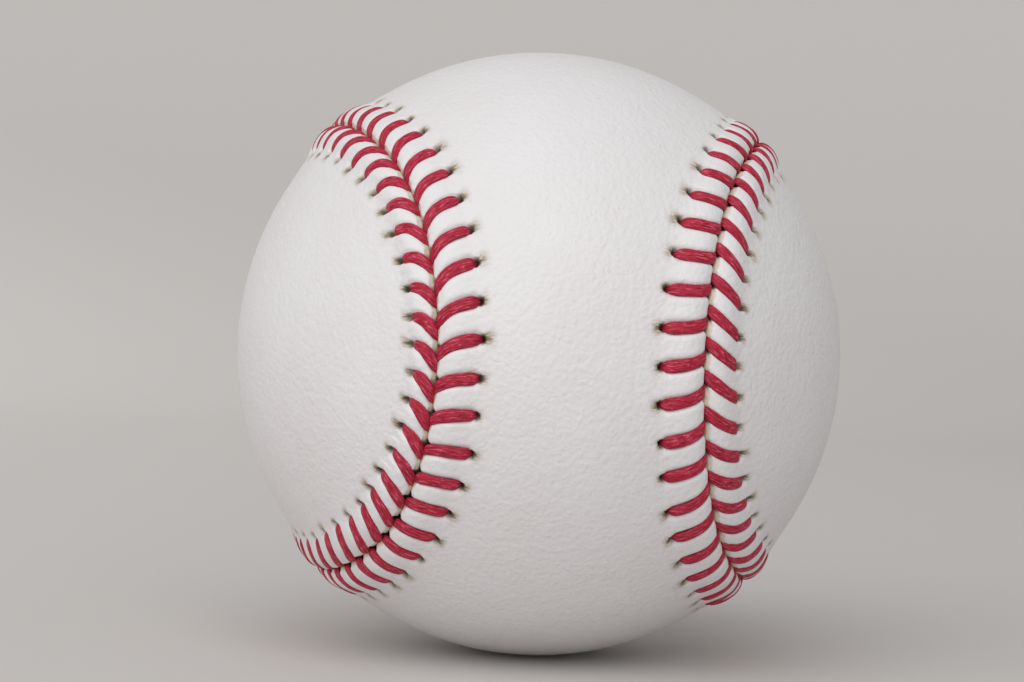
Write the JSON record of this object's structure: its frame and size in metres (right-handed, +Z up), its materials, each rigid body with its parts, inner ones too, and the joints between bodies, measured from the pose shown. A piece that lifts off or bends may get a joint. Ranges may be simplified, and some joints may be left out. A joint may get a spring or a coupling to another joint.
{
  "type": "baseball",
  "caption": "Leather baseball with interlocking figure-eight panels sewn together by raised red stitching, over wound yarn and a rubber-cushioned cork centre.",
  "frame": {"origin": "centre of the ball", "axes": "-Y is the way the front panel's waist faces, towards the viewer of the picture; +Z is up, through the front panel's upper lobe; +X is to the viewer's right, through the back panel's right-hand lobe"},
  "size_m": [0.074, 0.074, 0.074],
  "materials": {
    "cover_leather": "alum-tanned full-grain, off-white, low sheen",
    "red_thread": "waxed cotton thread, crimson",
    "finishing_yarn": "fine white cotton-blend yarn, wound",
    "grey_wool_yarn": "grey wool yarn, wound",
    "white_wool_yarn": "white wool yarn, wound",
    "red_rubber": "moulded, matt",
    "black_rubber": "moulded, matt",
    "cork": "pressed cork grains"
  },
  "bodies": {
    "root": {"front_cover_panel": "cover_leather", "back_cover_panel": "cover_leather", "seam_thread": "red_thread", "finishing_winding": "finishing_yarn", "third_winding": "grey_wool_yarn", "second_winding": "white_wool_yarn", "first_winding": "grey_wool_yarn", "outer_rubber_layer": "red_rubber", "upper_rubber_cup": "black_rubber", "lower_rubber_cup": "black_rubber", "rubber_gasket": "red_rubber", "cork_core": "cork"}
  },
  "joints": []
}
